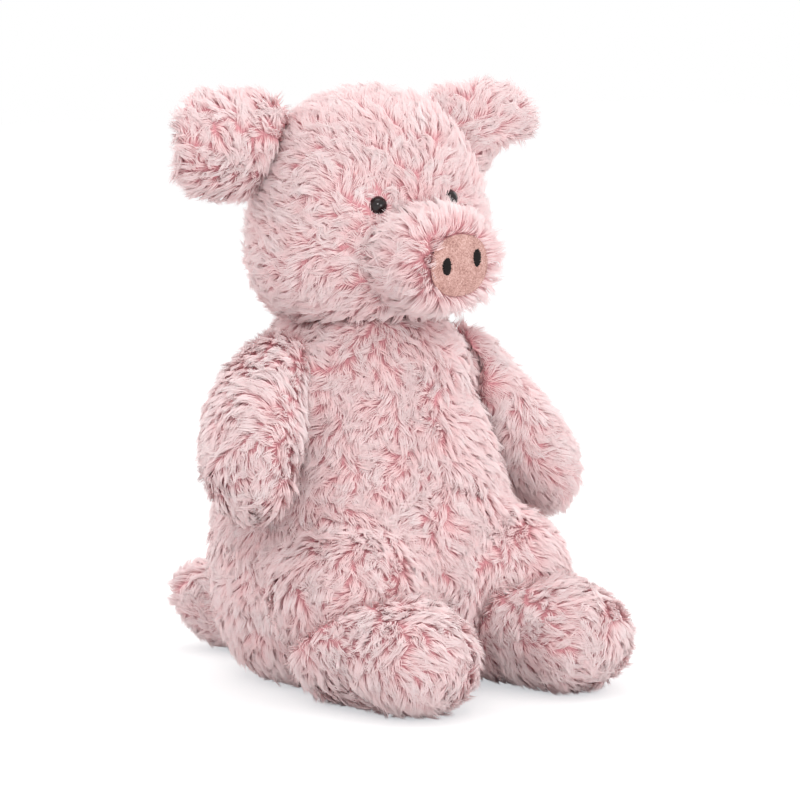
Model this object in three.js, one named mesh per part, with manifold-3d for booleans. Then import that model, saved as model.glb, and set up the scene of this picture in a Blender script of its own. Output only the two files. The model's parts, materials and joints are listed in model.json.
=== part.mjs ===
// A sitting plush pig: pile covers over soft stuffing, sewn together at ball-shaped seams.
// Millimetres, +Z up. The pig looks along -Y and its right side is at -X.
// The origin is the middle of the flat seat.
import * as THREE from "three";
import { mergeVertices } from "three/addons/utils/BufferGeometryUtils.js";
import Module from "manifold-3d";

const wasm = await Module();
wasm.setup();

// Cloth and seams
const pileDepth = 7;
const seamGap = 0.35;
const dishGap = 0.4;
const floorCut = 0.5;
const overrun = 3;

// Body, from the seat to the hidden top inside the head
const bodyHeight = 156;
const bodyHalfWidth = 66;
const bodyHalfDepth = 64;
const bodyBack = 5;
const bodySides = 24;
const bodyShares = [
  [0, 0],
  [0.003, 0.42],
  [0.012, 0.57],
  [0.036, 0.72],
  [0.077, 0.845],
  [0.15, 0.935],
  [0.25, 0.985],
  [0.36, 1],
  [0.48, 0.975],
  [0.6, 0.905],
  [0.72, 0.805],
  [0.82, 0.69],
  [0.9, 0.55],
  [0.96, 0.35],
  [1, 0],
];

// Bean pouch, lying on the seat inside the body
const pouchHalfWidth = 40;
const pouchHeight = 20;
const pouchSides = 18;
const pouchRings = 8;
const pouchBlunting = 2.6;

// Neck, a ball that the head's hollow underside sits on
const neckRadius = 46;
const neckDrop = 30;
const neckOpeningRadius = 26;

// Head
const headHeight = 103;
const headHalfWidth = 55;
const headHalfDepth = 45;
const headBack = 1;
const headSink = 20;
const headTurn = -6.5;
const headTilt = 2.5;
const headSides = 24;
const headShares = [
  [0, 0],
  [0.018, 0.46],
  [0.055, 0.68],
  [0.11, 0.83],
  [0.185, 0.935],
  [0.28, 0.99],
  [0.37, 1],
  [0.48, 0.975],
  [0.58, 0.935],
  [0.7, 0.865],
  [0.81, 0.755],
  [0.9, 0.6],
  [0.955, 0.42],
  [0.988, 0.22],
  [1, 0],
];

// Muzzle
const muzzleHalfWidth = 28;
const muzzleHalfHeight = 23;
const muzzleReach = 22.2;
const muzzleRoot = 26;
const muzzleLift = 35;
const muzzleDrop = 3.5;
const muzzleSides = 18;
const muzzleShares = [
  [0, 0],
  [0.04, 0.55],
  [0.14, 0.85],
  [0.3, 0.98],
  [0.5, 1],
  [0.68, 0.98],
  [0.82, 0.92],
  [0.92, 0.83],
  [0.985, 0.72],
  [1, 0.65],
  [1, 0],
];

// Snout disc and its stitched nostrils
const discHalfWidth = 14.2;
const discHalfHeight = 13.2;
const discThickness = 2.4;
const discSides = 22;
const discShares = [
  [0, 0],
  [0, 0.93],
  [0.35, 1],
  [0.65, 0.965],
  [0.85, 0.85],
  [0.96, 0.6],
  [1, 0],
];
const nostrilHalfWidth = 2.3;
const nostrilHalfHeight = 3.6;
const nostrilThickness = 1.6;
const nostrilProud = 0.5;
const nostrilSpacing = 15;
const nostrilRise = 1.6;
const nostrilRoll = 9;
const nostrilSides = 12;
const padShares = [
  [0, 0],
  [0, 0.9],
  [0.5, 1],
  [0.85, 0.8],
  [1, 0],
];

// Eyes: a bead on a shank, locked by a washer inside the head
const eyeRadius = 4;
const eyeBack = 1.5;
const eyeSpacing = 38;
const eyeLift = 56;
const eyeSink = 4.4;
const eyeTurnShare = 0.75;
const shankRadius = 1.5;
const shankLength = 11;
const washerRadius = 6;
const washerThickness = 1.6;
const socketRadius = 8;
const roundSides = 12;
const beadSides = 16;

// Ears: cupped flaps, sewn on along an upright root
const earReach = 59;
const earRootWidth = 33;
const earLift = 82.5;
const earHalfHeight = 24.5;
const earThickness = 15;
const earCup = 12;
const earBack = 4;
const earSides = 16;
const earAlongShares = [0, 0.12, 0.25, 0.37, 0.52, 0.68, 0.82, 0.92, 0.98, 1];
const earRightTopShares = [0.5, 0.8, 0.97, 0.9, 0.98, 1, 0.88, 0.66, 0.38, 0];
const earRightLowShares = [0.8, 0.9, 0.96, 1, 1, 0.92, 0.74, 0.54, 0.32, 0];
const earLeftTopShares = [0.4, 0.64, 0.78, 0.78, 0.78, 0.76, 0.7, 0.57, 0.36, 0];
const earLeftLowShares = [1.1, 1.35, 1.5, 1.48, 0.98, 0.56, 0.42, 0.34, 0.22, 0];
const earMinTurn = -20;
const earMaxTurn = 25;

// Arms
const shoulderRadius = 14;
const shoulderDrop = 25;
const shoulderOut = 1;
const shoulderForward = 8;
const armHalfWidth = 25;
const armHalfThickness = 20;
const armSides = 16;
const armRings = 11;
const armBlunting = 2.3;
const armShares = [0.9, 0.9, 0.94, 1, 1.02];
const armRootRise = 19;
const armRootIn = 1;
const armRightReach = 41;
const armRightForward = 28;
const armRightDrop = 53;
const armRightShares = [
  [0.5, 0.12, 0.04],
  [0.84, 0.5, 0.38],
  [0.98, 0.8, 0.68],
];
const armLeftReach = 45.5;
const armLeftForward = 14;
const armLeftDrop = 65;
const armLeftShares = [
  [0.34, 0.15, 0.16],
  [0.66, 0.45, 0.42],
  [0.9, 0.8, 0.7],
];
const armMinTurn = -15;
const armMaxTurn = 75;

// Legs
const hipRadius = 33;
const hipHeight = 45;
const hipSpacing = 82;
const hipForward = 38;
const legHalfWidth = 28;
const legHalfHeight = 23.5;
const legRootBack = 14;
const legReach = 72;
const legAxisShares = [
  [0, 1.28],
  [0.35, 1.2],
  [0.65, 1.02],
  [1, 1],
];
const legSplay = 3;
const legSides = 16;
const legShares = [
  [0, 0],
  [0.03, 0.55],
  [0.1, 0.95],
  [0.2, 1.18],
  [0.32, 1.22],
  [0.46, 1.13],
  [0.6, 1.04],
  [0.72, 1],
  [0.82, 0.92],
  [0.9, 0.76],
  [0.96, 0.53],
  [0.99, 0.28],
  [1, 0],
];
const legMaxTurn = 22;

// Tail
const tailHalfWidth = 18;
const tailRootHeight = 17;
const tailReach = 55;
const tailCurl = 15;
const tailRise = 13;
const tailSides = 14;
const tailRings = 10;
const tailBlunting = 2.2;
const tailShares = [0.7, 0.75, 0.9, 1, 1];
const tailMaxTurn = 20;

const swingStep = 9;
const innerSides = 16;
const limbInnerSides = 12;
const neckBallSides = 22;
const seamBallSides = 16;
const innerBallSides = 12;
const ballRingShare = 0.6;

const dyes = {
  pile: 0xf2cfce,
  stuffing: 0xf4f1ec,
  suede: 0xd5a49b,
  thread: 0x1b1518,
  bead: 0x0c0a0b,
  washer: 0xe9e6df,
  beans: 0xe6ddcc,
};

// Turns a three.js geometry into a solid that can be joined and cut.
function solidOf(geometry) {
  const bare = geometry.clone();
  bare.deleteAttribute("normal");
  bare.deleteAttribute("uv");
  const merged = mergeVertices(bare);
  return new wasm.Manifold(
    new wasm.Mesh({
      numProp: 3,
      vertProperties: merged.attributes.position.array,
      triVerts: new Uint32Array(merged.index.array),
    }),
  );
}

// Turns a solid back into a three.js geometry.
function geometryOf(solid) {
  const { vertProperties, triVerts } = solid.getMesh();
  const geometry = new THREE.BufferGeometry();
  geometry.setAttribute("position", new THREE.BufferAttribute(vertProperties, 3));
  geometry.setIndex(new THREE.BufferAttribute(triVerts, 1));
  geometry.computeVertexNormals();
  return geometry;
}

// Keeps the largest piece of a cut solid and drops the offcuts.
function largestOf(solid) {
  return solid.decompose().sort((a, b) => b.volume() - a.volume())[0];
}

function moved(solid, matrix) {
  return solidOf(geometryOf(solid).applyMatrix4(matrix));
}

function turnAbout(pivot, axis, degrees) {
  return new THREE.Matrix4()
    .makeTranslation(pivot)
    .multiply(new THREE.Matrix4().makeRotationAxis(axis, THREE.MathUtils.degToRad(degrees)))
    .multiply(new THREE.Matrix4().makeTranslation(pivot.clone().negate()));
}

function ball(centre, radius, sides) {
  const geometry = new THREE.SphereGeometry(radius, sides, Math.round(sides * ballRingShare));
  return solidOf(geometry.translate(centre.x, centre.y, centre.z));
}

// A ball whose flat faces, and not only its corners, stay outside the radius.
function dishBall(centre, radius, sides) {
  const faceShare =
    Math.cos(Math.PI / sides) * Math.cos(Math.PI / Math.round(sides * ballRingShare) / 2);
  return ball(centre, radius / faceShare, sides);
}

// A round part from its half outline, standing on the point and pointing along the direction.
function turned(outline, foot, direction, sides = roundSides) {
  const geometry = new THREE.LatheGeometry(
    outline.map(([radius, height]) => new THREE.Vector2(radius, height)),
    sides,
  );
  const up = new THREE.Vector3(0, 1, 0);
  geometry.applyQuaternion(new THREE.Quaternion().setFromUnitVectors(up, direction));
  return solidOf(geometry.translate(foot.x, foot.y, foot.z));
}

// A form that swells and tapers: oval rings threaded on a spine, closed by a point at each end.
// Each row is a place along the spine, the swell of the ring there and, where the ring's two
// halves differ, the swell of its lower half. An inset shrinks the form evenly all round.
function threaded({ spine, side, rows, sides, halfWidth, halfDepth, cup = 0, inset = 0 }) {
  const length = spine.getLength();
  const alongScale = (length - 2 * inset) / length;
  const points = [];
  for (const [along, swell, lowSwell = swell] of rows) {
    const share = 0.5 + (along - 0.5) * alongScale;
    const centre = spine.getPointAt(THREE.MathUtils.clamp(share, 0, 1));
    const tangent = spine.getTangentAt(THREE.MathUtils.clamp(share, 0, 1));
    centre.addScaledVector(tangent, (share - THREE.MathUtils.clamp(share, 0, 1)) * length);
    const deep = tangent.clone().cross(side).normalize();
    const wide = deep.clone().cross(tangent).normalize();
    const count = swell === 0 ? 1 : sides;
    for (let i = 0; i < count; i += 1) {
      const turn = (2 * Math.PI * i) / sides;
      const half = Math.cos(turn) < 0 ? lowSwell : swell;
      const across = (halfWidth - inset) * half * Math.cos(turn);
      const through = (halfDepth - inset) * swell * Math.sin(turn);
      const bend = cup * swell * Math.cos(turn) ** 2;
      points.push(
        centre
          .clone()
          .addScaledVector(wide, swell === 0 ? 0 : across)
          .addScaledVector(deep, swell === 0 ? 0 : through + bend),
      );
    }
  }
  const faces = [];
  const rings = rows.length - 2;
  const at = (ring, i) => 1 + ring * sides + (i % sides);
  const last = points.length - 1;
  for (let i = 0; i < sides; i += 1) {
    faces.push(0, at(0, i + 1), at(0, i));
    faces.push(last, at(rings - 1, i), at(rings - 1, i + 1));
    for (let ring = 0; ring < rings - 1; ring += 1) {
      faces.push(at(ring, i), at(ring, i + 1), at(ring + 1, i + 1));
      faces.push(at(ring, i), at(ring + 1, i + 1), at(ring + 1, i));
    }
  }
  const geometry = new THREE.BufferGeometry().setFromPoints(points);
  geometry.setIndex(faces);
  return solidOf(geometry);
}

// Rows for a limb with rounded ends whose swell runs through the given shares.
function limbRows(swellShares, bluntness, steps) {
  const last = swellShares.length - 1;
  const rows = [];
  for (let step = 0; step <= steps; step += 1) {
    const turn = (Math.PI * step) / steps;
    const across = Math.max(Math.sin(turn), 0) ** (2 / bluntness);
    const ahead = Math.sign(Math.cos(turn)) * Math.abs(Math.cos(turn)) ** (2 / bluntness);
    const along = (1 - ahead) / 2;
    const place = along * last;
    const low = Math.min(Math.floor(place), last - 1);
    const swell = THREE.MathUtils.lerp(swellShares[low], swellShares[low + 1], place - low);
    rows.push([along, step === 0 || step === steps ? 0 : across * swell]);
  }
  return rows;
}

// How far a form made of rows has swollen at a share of its length.
function swellAt(rows, share) {
  const next = Math.max(
    rows.findIndex(([along]) => along >= share),
    1,
  );
  const [from, fromSwell] = rows[next - 1];
  const [to, toSwell] = rows[next];
  return THREE.MathUtils.mapLinear(share, from, to, fromSwell, toSwell);
}

// Cuts a solid clear of a neighbour through the whole of its own swing.
function clearOfSwing(solid, neighbour, hinge) {
  const steps = Math.ceil((hinge.max - hinge.min) / swingStep);
  let cut = solid;
  for (let step = 0; step <= steps; step += 1) {
    const turn = THREE.MathUtils.mapLinear(step, 0, steps, hinge.min, hinge.max);
    cut = cut.subtract(moved(neighbour, turnAbout(hinge.pivot, hinge.axis, -turn)));
  }
  return cut;
}

const right = -1;
const left = 1;
const across = new THREE.Vector3(1, 0, 0);
const upward = new THREE.Vector3(0, 0, 1);
const forward = new THREE.Vector3(0, -1, 0);

// Body: a pear with a ball at the neck, at each shoulder and at each hip
const bodyFoot = -floorCut;
const bodyTop = bodyHeight;
const bodySpine = new THREE.LineCurve3(
  new THREE.Vector3(0, bodyBack, bodyFoot),
  new THREE.Vector3(0, bodyBack, bodyTop),
);
const bodyShape = {
  spine: bodySpine,
  side: across,
  rows: bodyShares,
  sides: bodySides,
  halfWidth: bodyHalfWidth,
  halfDepth: bodyHalfDepth,
};
const neckCentre = new THREE.Vector3(0, bodyBack, bodyTop - neckDrop);
const shoulderHeight = bodyTop - shoulderDrop;
const shoulderX =
  bodyHalfWidth * swellAt(bodyShares, shoulderHeight / bodyHeight) + shoulderOut;
const shoulderOf = (hand) =>
  new THREE.Vector3(hand * shoulderX, bodyBack - shoulderForward, shoulderHeight);
const hipOf = (hand) =>
  new THREE.Vector3((hand * hipSpacing) / 2, bodyBack - hipForward, hipHeight);

// The body's outside when the inset is 0, and otherwise its inside, where the shoulders are solid.
function bodySolid(inset) {
  const inner = inset > 0;
  const hipSides = inner ? innerBallSides : seamBallSides;
  const body = threaded({ ...bodyShape, inset, sides: inner ? innerSides : bodySides })
    .add(ball(neckCentre, neckRadius - inset, inner ? innerSides : neckBallSides))
    .add(ball(hipOf(right), hipRadius - inset, hipSides))
    .add(ball(hipOf(left), hipRadius - inset, hipSides));
  if (inner) return body;
  return body
    .add(ball(shoulderOf(right), shoulderRadius, seamBallSides))
    .add(ball(shoulderOf(left), shoulderRadius, seamBallSides));
}

const groundHalf = bodyHeight * 2;
const ground = solidOf(
  new THREE.BoxGeometry(groundHalf, groundHalf, groundHalf).translate(0, 0, -groundHalf / 2),
);
const neckOpening = turned(
  [
    [0, 0],
    [neckOpeningRadius, 0],
    [neckOpeningRadius, neckRadius + overrun],
    [0, neckRadius + overrun],
  ],
  neckCentre,
  upward,
);
const pouchCentreHeight = pileDepth + seamGap + pouchHeight / 2;
const pouchShape = {
  spine: new THREE.LineCurve3(
    new THREE.Vector3(0, bodyBack, pouchCentreHeight - pouchHeight / 2),
    new THREE.Vector3(0, bodyBack, pouchCentreHeight + pouchHeight / 2),
  ),
  side: across,
  rows: limbRows([1, 1], pouchBlunting, pouchRings),
  sides: pouchSides,
  halfWidth: pouchHalfWidth,
  halfDepth: pouchHalfWidth,
};
const pouch = threaded(pouchShape);
const pouchPocket = threaded({ ...pouchShape, inset: -seamGap });
const pouchMouth = turned(
  [
    [0, 0],
    [pouchHalfWidth / 2, 0],
    [pouchHalfWidth / 2, pouchHeight / 2],
    [0, pouchHeight / 2],
  ],
  new THREE.Vector3(0, bodyBack, pileDepth - floorCut),
  upward,
);
const bodyCover = largestOf(
  bodySolid(0).subtract(bodySolid(pileDepth)).subtract(ground).subtract(neckOpening),
);
const bodyFill = largestOf(
  bodySolid(pileDepth + seamGap).subtract(pouchPocket).subtract(pouchMouth),
);

// Head: its underside is hollowed to sit on the neck ball, wherever the head is turned to
const headFoot = bodyTop - headSink + (neckRadius - neckDrop);
const headAt = (lift, back = headBack) => new THREE.Vector3(0, back, headFoot + lift);
const headShape = {
  spine: new THREE.LineCurve3(headAt(0), headAt(headHeight)),
  side: across,
  rows: headShares,
  sides: headSides,
  halfWidth: headHalfWidth,
  halfDepth: headHalfDepth,
};
const headMiddle = headAt(muzzleLift);
const headPose = turnAbout(headMiddle, upward, headTurn).multiply(
  turnAbout(headMiddle, forward, headTilt),
);
const neckDish = dishBall(
  neckCentre.clone().applyMatrix4(headPose.clone().invert()),
  neckRadius + dishGap,
  neckBallSides,
);
const headGrown = threaded({ ...headShape, inset: -seamGap });
const headGrownTwice = threaded({ ...headShape, inset: -2 * seamGap });

// The place and outward direction of each eye on the head's side of the muzzle.
function eyeSeat(hand) {
  const swell = swellAt(headShares, eyeLift / headHeight);
  const x = (hand * eyeSpacing) / 2;
  const halfWidth = headHalfWidth * swell;
  const halfDepth = headHalfDepth * swell;
  const y = -halfDepth * Math.sqrt(1 - (x / halfWidth) ** 2);
  const outward = new THREE.Vector3(
    (eyeTurnShare * x) / halfWidth ** 2,
    y / halfDepth ** 2,
    0,
  ).normalize();
  const place = new THREE.Vector3(x, headBack + y, headFoot + eyeLift);
  return { place: place.addScaledVector(outward, -eyeSink), outward };
}

// A half outline of a bead whose middle is at height 0, with its shank below.
function eyeOutline() {
  const outline = [
    [0, -shankLength],
    [shankRadius, -shankLength],
    [shankRadius, -eyeBack],
  ];
  const steps = 8;
  const start = Math.acos(eyeBack / eyeRadius);
  for (let step = 0; step <= steps; step += 1) {
    const turn = THREE.MathUtils.mapLinear(step, 0, steps, start, Math.PI);
    const radius = step === steps ? 0 : eyeRadius * Math.sin(turn);
    outline.push([radius, -eyeRadius * Math.cos(turn)]);
  }
  return outline;
}

function shankHole(seat) {
  const radius = shankRadius + seamGap;
  const depth = shankLength + seamGap;
  return turned(
    [
      [0, -depth],
      [radius, -depth],
      [radius, 0],
      [0, 0],
    ],
    seat.place,
    seat.outward,
  );
}

// The eye's socket: a ball of clearance round the bead, opening outwards.
function eyeSocket(seat) {
  const clear = eyeRadius + seamGap;
  return turned(
    [
      [0, -eyeBack - seamGap],
      [clear, -eyeBack - seamGap],
      [clear, 0],
      [socketRadius, eyeSink + overrun],
      [0, eyeSink + overrun],
    ],
    seat.place,
    seat.outward,
  ).add(shankHole(seat));
}

// The washer lies on the inner face of the head's cover, round the shank.
const washerDepth = pileDepth - eyeSink + seamGap;
function washerOutline(clearance) {
  const inner = shankRadius + seamGap - clearance;
  const outer = washerRadius + clearance;
  const low = -washerDepth - washerThickness - clearance;
  const high = -washerDepth + clearance;
  return [
    [inner, low],
    [outer, low],
    [outer, high],
    [inner, high],
    [inner, low],
  ];
}

const eyes = [right, left].map((hand) => {
  const seat = eyeSeat(hand);
  const pocket = washerOutline(seamGap).map(([radius, height]) => [
    radius < washerRadius ? 0 : radius,
    height,
  ]);
  return {
    hand,
    socket: eyeSocket(seat),
    bead: turned(eyeOutline(), seat.place, seat.outward, beadSides),
    washer: turned(washerOutline(0), seat.place, seat.outward),
    pocket: turned(pocket.slice(0, -1), seat.place, seat.outward),
  };
});

const headInside = { ...headShape, sides: innerSides, inset: pileDepth };
let headCover = threaded(headShape).subtract(threaded(headInside)).subtract(neckDish);
let headFill = threaded({ ...headInside, inset: pileDepth + seamGap }).subtract(neckDish);
for (const eye of eyes) {
  headCover = headCover.subtract(eye.socket).subtract(eye.pocket);
  headFill = headFill.subtract(eye.socket).subtract(eye.pocket);
}

// Muzzle: a blunt form on the front of the head, pitched a little down, with a flat front
const headFront = headBack - headHalfDepth;
const muzzleFront = new THREE.Vector3(
  0,
  headFront - muzzleReach,
  headFoot + muzzleLift - muzzleDrop,
);
const muzzleStart = new THREE.Vector3(0, headFront + muzzleRoot, headFoot + muzzleLift);
const muzzleAim = muzzleFront.clone().sub(muzzleStart).normalize();
const muzzleShape = {
  spine: new THREE.LineCurve3(muzzleStart, muzzleFront),
  side: across,
  rows: muzzleShares,
  sides: muzzleSides,
  halfWidth: muzzleHalfWidth,
  halfDepth: muzzleHalfHeight,
};
const muzzleInside = { ...muzzleShape, sides: limbInnerSides };
const muzzleCover = largestOf(
  threaded(muzzleShape)
    .subtract(threaded({ ...muzzleInside, inset: pileDepth }))
    .subtract(headGrown),
);
const muzzleFill = largestOf(
  threaded({ ...muzzleInside, inset: pileDepth + seamGap }).subtract(headGrownTwice),
);

const discFoot = muzzleFront.clone().addScaledVector(muzzleAim, seamGap);
const discShape = {
  spine: new THREE.LineCurve3(
    discFoot,
    discFoot.clone().addScaledVector(muzzleAim, discThickness),
  ),
  side: across,
  rows: discShares,
  sides: discSides,
  halfWidth: discHalfWidth,
  halfDepth: discHalfHeight,
};
const discFaceAt = (share) => {
  const next = discShares.findIndex(([, swell], i) => i > 2 && swell <= share);
  const [from, fromSwell] = discShares[next - 1];
  const [to, toSwell] = discShares[next];
  return THREE.MathUtils.mapLinear(share, fromSwell, toSwell, from, to) * discThickness;
};
const discUp = muzzleAim.clone().cross(across);
const nostrilTurn = THREE.MathUtils.degToRad(nostrilRoll);
const nostrils = [right, left].map((hand) => {
  const x = ((hand * nostrilSpacing) / 2) * Math.cos(nostrilTurn);
  const rise = ((hand * nostrilSpacing) / 2) * Math.sin(nostrilTurn) + nostrilRise;
  const face = discFaceAt(Math.hypot(x / discHalfWidth, rise / discHalfHeight));
  const middle = discFoot.clone().addScaledVector(across, x).addScaledVector(discUp, rise);
  const shape = {
    spine: new THREE.LineCurve3(
      middle.clone().addScaledVector(muzzleAim, face + nostrilProud - nostrilThickness),
      middle.clone().addScaledVector(muzzleAim, face + nostrilProud),
    ),
    side: across,
    rows: padShares,
    sides: nostrilSides,
    halfWidth: nostrilHalfWidth,
    halfDepth: nostrilHalfHeight,
  };
  return { hand, pad: threaded(shape), pocket: threaded({ ...shape, inset: -seamGap }) };
});
const disc = nostrils.reduce(
  (solid, nostril) => solid.subtract(nostril.pocket),
  threaded(discShape),
);

// Ears: each hinges about an upright line where its root meets the side of the head
const earHeight = headFoot + earLift;
const earHingeX = headHalfWidth * swellAt(headShares, earLift / headHeight) - pileDepth / 2;
const ears = [
  { hand: right, topShares: earRightTopShares, lowShares: earRightLowShares },
  { hand: left, topShares: earLeftTopShares, lowShares: earLeftLowShares },
].map(({ hand, topShares, lowShares }) => {
  const hinge = {
    pivot: new THREE.Vector3(hand * earHingeX, earBack, earHeight),
    axis: new THREE.Vector3(0, 0, -hand),
    min: earMinTurn,
    max: earMaxTurn,
  };
  const flap = threaded({
    spine: new THREE.LineCurve3(
      new THREE.Vector3(hand * earRootWidth, earBack, earHeight),
      new THREE.Vector3(hand * (earRootWidth + earReach), earBack, earHeight),
    ),
    side: upward,
    rows: earAlongShares.map((along, i) => [along, topShares[i], lowShares[i]]),
    sides: earSides,
    halfWidth: earHalfHeight,
    halfDepth: earThickness / 2,
    cup: -hand * earCup,
  });
  return { hand, solid: largestOf(clearOfSwing(flap, headGrown, hinge)) };
});

// The cover and stuffing of a sewn limb, cut clear of what it is sewn to. The hollow can be cut
// back further by the depth it lies at, which leaves the cover whole there.
function limb(shape, cut, cutBack = (hollow) => hollow) {
  const hollowAt = (inset) =>
    cutBack(threaded({ ...shape, sides: limbInnerSides, inset }), inset);
  return {
    cover: largestOf(cut(threaded(shape).subtract(hollowAt(pileDepth)))),
    fill: largestOf(cut(hollowAt(pileDepth + seamGap))),
  };
}

const bodyGrown = threaded({ ...bodyShape, inset: -seamGap });

// The pear and the neck ball, with room all round them.
const torsoWith = (room) =>
  threaded({ ...bodyShape, inset: -room }).add(
    dishBall(neckCentre, neckRadius + room, neckBallSides),
  );

// Arms: out from the shoulder ball, then down beside the belly to a round paw
const arms = [
  {
    hand: right,
    reach: new THREE.Vector3(right * armRightReach, -armRightForward, -armRightDrop),
    bendShares: armRightShares,
  },
  {
    hand: left,
    reach: new THREE.Vector3(left * armLeftReach, -armLeftForward, -armLeftDrop),
    bendShares: armLeftShares,
  },
].map(({ hand, reach, bendShares }) => {
  const shoulder = shoulderOf(hand);
  const root = new THREE.Vector3(-hand * armRootIn, 0, armRootRise);
  const bends = bendShares.map((shares) => new THREE.Vector3(...shares).multiply(reach));
  const hinge = {
    pivot: shoulder,
    axis: new THREE.Vector3(-1, 0, 0),
    min: armMinTurn,
    max: armMaxTurn,
  };
  const shape = {
    spine: new THREE.CatmullRomCurve3(
      [root, ...bends, reach].map((point) => point.clone().add(shoulder)),
    ),
    side: new THREE.Vector3(0, 1, 0),
    rows: limbRows(armShares, armBlunting, armRings),
    sides: armSides,
    halfWidth: armHalfWidth,
    halfDepth: armHalfThickness,
  };
  const dish = dishBall(shoulder, shoulderRadius + dishGap, seamBallSides);
  const clearOfTorso = (solid, room) => clearOfSwing(solid, torsoWith(room), hinge);
  const cut = (solid) => clearOfTorso(solid.subtract(dish), seamGap);
  return { hand, ...limb(shape, cut, clearOfTorso) };
});

// Legs: forward from the hip ball along the floor to a round foot
const legs = [right, left].map((hand) => {
  const hip = hipOf(hand);
  const hinge = { pivot: hip, axis: new THREE.Vector3(-1, 0, 0), min: 0, max: legMaxTurn };
  const root = new THREE.Vector3(hip.x, hip.y + legRootBack, -floorCut);
  const toe = new THREE.Vector3(hip.x + hand * legSplay, hip.y - legReach, -floorCut);
  const shape = {
    spine: new THREE.CatmullRomCurve3(
      legAxisShares.map(([along, height]) =>
        root.clone().lerp(toe, along).addScaledVector(upward, height * legHalfHeight),
      ),
    ),
    side: across,
    rows: legShares,
    sides: legSides,
    halfWidth: legHalfWidth,
    halfDepth: legHalfHeight,
  };
  const dish = dishBall(hip, hipRadius + dishGap, seamBallSides);
  const cut = (solid) =>
    clearOfSwing(solid.subtract(dish).subtract(ground), bodyGrown, hinge);
  return { hand, ...limb(shape, cut) };
});

// Tail: back from the seat, curling up and to the right
const tailRootY =
  bodyBack + bodyHalfDepth * swellAt(bodyShares, tailRootHeight / bodyHeight);
const tailFrom = (curlShare, backShare, riseShare) =>
  new THREE.Vector3(
    right * tailCurl * curlShare,
    tailRootY + tailReach * backShare,
    tailRootHeight + tailRise * riseShare,
  );
const tailHinge = {
  pivot: new THREE.Vector3(0, tailRootY, tailRootHeight),
  axis: upward,
  min: -tailMaxTurn,
  max: tailMaxTurn,
};
const tail = limb(
  {
    spine: new THREE.CatmullRomCurve3([
      tailFrom(0, -0.35, 0),
      tailFrom(0, 0.15, 0),
      tailFrom(0.35, 0.65, 0.3),
      tailFrom(1, 1, 1),
    ]),
    side: across,
    rows: limbRows(tailShares, tailBlunting, tailRings),
    sides: tailSides,
    halfWidth: tailHalfWidth,
    halfDepth: tailHalfWidth,
  },
  (solid) => clearOfSwing(solid, bodyGrown, tailHinge),
);

// The head and all that it carries share one turned and tilted group
const pig = new THREE.Group();
const head = new THREE.Group();
head.applyMatrix4(headPose);
pig.add(head);

function dress(group, name, solid, color, roughness, metalness = 0) {
  const material = new THREE.MeshStandardMaterial({ color, roughness, metalness });
  const mesh = new THREE.Mesh(geometryOf(solid), material);
  mesh.name = name;
  group.add(mesh);
}

const sideName = (hand) => (hand === right ? "right" : "left");

dress(pig, "body_cover", bodyCover, dyes.pile, 0.95);
dress(pig, "body_stuffing", bodyFill, dyes.stuffing, 1);
dress(pig, "bean_pouch", pouch, dyes.beans, 0.9);
dress(head, "head_cover", largestOf(headCover), dyes.pile, 0.95);
dress(head, "head_stuffing", largestOf(headFill), dyes.stuffing, 1);
dress(head, "muzzle_cover", muzzleCover, dyes.pile, 0.95);
dress(head, "muzzle_stuffing", muzzleFill, dyes.stuffing, 1);
dress(head, "snout_disc", disc, dyes.suede, 0.85);
for (const { hand, pad } of nostrils) {
  dress(head, `nostril_${sideName(hand)}`, pad, dyes.thread, 0.7);
}
for (const { hand, bead, washer } of eyes) {
  dress(head, `eye_${sideName(hand)}`, bead, dyes.bead, 0.08);
  dress(head, `eye_washer_${sideName(hand)}`, washer, dyes.washer, 0.5);
}
for (const { hand, solid } of ears) {
  dress(head, `ear_${sideName(hand)}`, solid, dyes.pile, 0.95);
}
for (const { hand, cover, fill } of arms) {
  dress(pig, `arm_${sideName(hand)}_cover`, cover, dyes.pile, 0.95);
  dress(pig, `arm_${sideName(hand)}_stuffing`, fill, dyes.stuffing, 1);
}
for (const { hand, cover, fill } of legs) {
  dress(pig, `leg_${sideName(hand)}_cover`, cover, dyes.pile, 0.95);
  dress(pig, `leg_${sideName(hand)}_stuffing`, fill, dyes.stuffing, 1);
}
dress(pig, "tail_cover", tail.cover, dyes.pile, 0.95);
dress(pig, "tail_stuffing", tail.fill, dyes.stuffing, 1);

export default pig;
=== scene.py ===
"""A sitting plush pig in curled pile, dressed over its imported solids.

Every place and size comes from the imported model. Each sewn piece gets a stuffed fabric skin
that carries thousands of fibres gathered in curled locks. The snout is a suede disc with two
stitched nostrils, and the eyes are glossy beads.
"""

import json
import logging
import math
from dataclasses import dataclass, field
from enum import Enum

import bmesh
import bpy
import numpy as np
from mathutils import Matrix, Vector
from mathutils.bvhtree import BVHTree
from mathutils.kdtree import KDTree


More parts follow.
